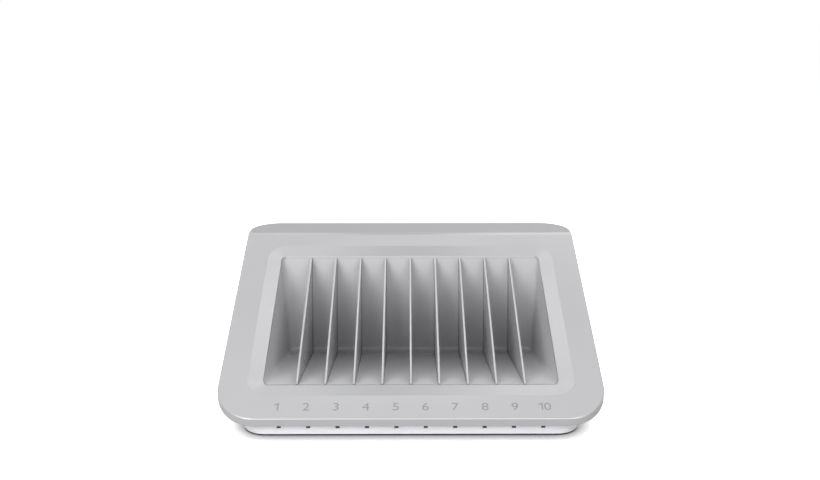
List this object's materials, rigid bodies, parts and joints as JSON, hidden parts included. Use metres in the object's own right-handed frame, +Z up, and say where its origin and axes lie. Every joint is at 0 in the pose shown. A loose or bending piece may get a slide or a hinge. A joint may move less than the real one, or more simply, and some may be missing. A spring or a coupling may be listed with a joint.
{
  "type": "charging station organizer",
  "caption": "Desktop charging station with a sloping grey deck round a bevelled divider well, on a white base with status windows in front and charging ports, inlet and switch at the back.",
  "frame": {"origin": "on the table under the middle of the deck's outline, in the plane of the rubber feet", "axes": "+X to the right seen from the front, +Y to the back, +Z up"},
  "size_m": [0.403, 0.3192, 0.1476],
  "materials": {
    "white_shell": "fine-textured white ABS moulding",
    "grey_shell": "satin light grey ABS moulding",
    "grey_well": "satin grey ABS moulding",
    "divider_sheet": "satin light grey sheet with pale edges",
    "foot_rubber": "soft black rubber",
    "circuit_board": "green solder mask",
    "clear_lens": "clear epoxy",
    "smoked_lens": "smoked clear acrylic",
    "panel_grey": "satin dark grey moulding",
    "ferrite": "pressed ferrite block",
    "contact_block": "white moulded contact carrier",
    "black_moulding": "black moulded nylon",
    "plated_brass": "nickel-plated brass",
    "rocker_gloss": "glossy black moulding",
    "supply_aluminium": "bare aluminium",
    "supply_steel": "plated sheet steel",
    "port_steel": "nickel-plated folded steel"
  },
  "bodies": {
    "station": {"base_tray": "white_shell", "deck_cover": "grey_shell", "well_tub": "grey_well", "rubber_feet": "foot_rubber", "led_board": "circuit_board", "status_leds": "clear_lens", "rear_panel": "panel_grey", "charging_board": "circuit_board", "board_coils": "ferrite", "port_tongues": "contact_block", "mains_inlet": "black_moulding", "inlet_pins": "plated_brass", "switch_housing": "black_moulding", "power_supply_case": "supply_aluminium", "power_supply_cover": "supply_steel", "supply_terminals": "black_moulding", "divider_1": "divider_sheet", "divider_2": "divider_sheet", "divider_3": "divider_sheet", "divider_4": "divider_sheet", "divider_5": "divider_sheet", "divider_6": "divider_sheet", "divider_7": "divider_sheet", "divider_8": "divider_sheet", "divider_9": "divider_sheet", "light_pipe_1": "smoked_lens", "usb_port_1": "port_steel", "light_pipe_2": "smoked_lens", "usb_port_2": "port_steel", "light_pipe_3": "smoked_lens", "usb_port_3": "port_steel", "light_pipe_4": "smoked_lens", "usb_port_4": "port_steel", "light_pipe_5": "smoked_lens", "usb_port_5": "port_steel", "light_pipe_6": "smoked_lens", "usb_port_6": "port_steel", "light_pipe_7": "smoked_lens", "usb_port_7": "port_steel", "light_pipe_8": "smoked_lens", "usb_port_8": "port_steel", "light_pipe_9": "smoked_lens", "usb_port_9": "port_steel", "light_pipe_10": "smoked_lens", "usb_port_10": "port_steel"},
    "rocker": {"switch_rocker": "rocker_gloss"}
  },
  "joints": [
    {"name": "rocker_pivot", "type": "hinge", "parent": "station", "child": "rocker", "pos_m": [0.086, 0.14544, 0.05], "axis": [1, 0, 0], "range_deg": [-18, 0]}
  ]
}
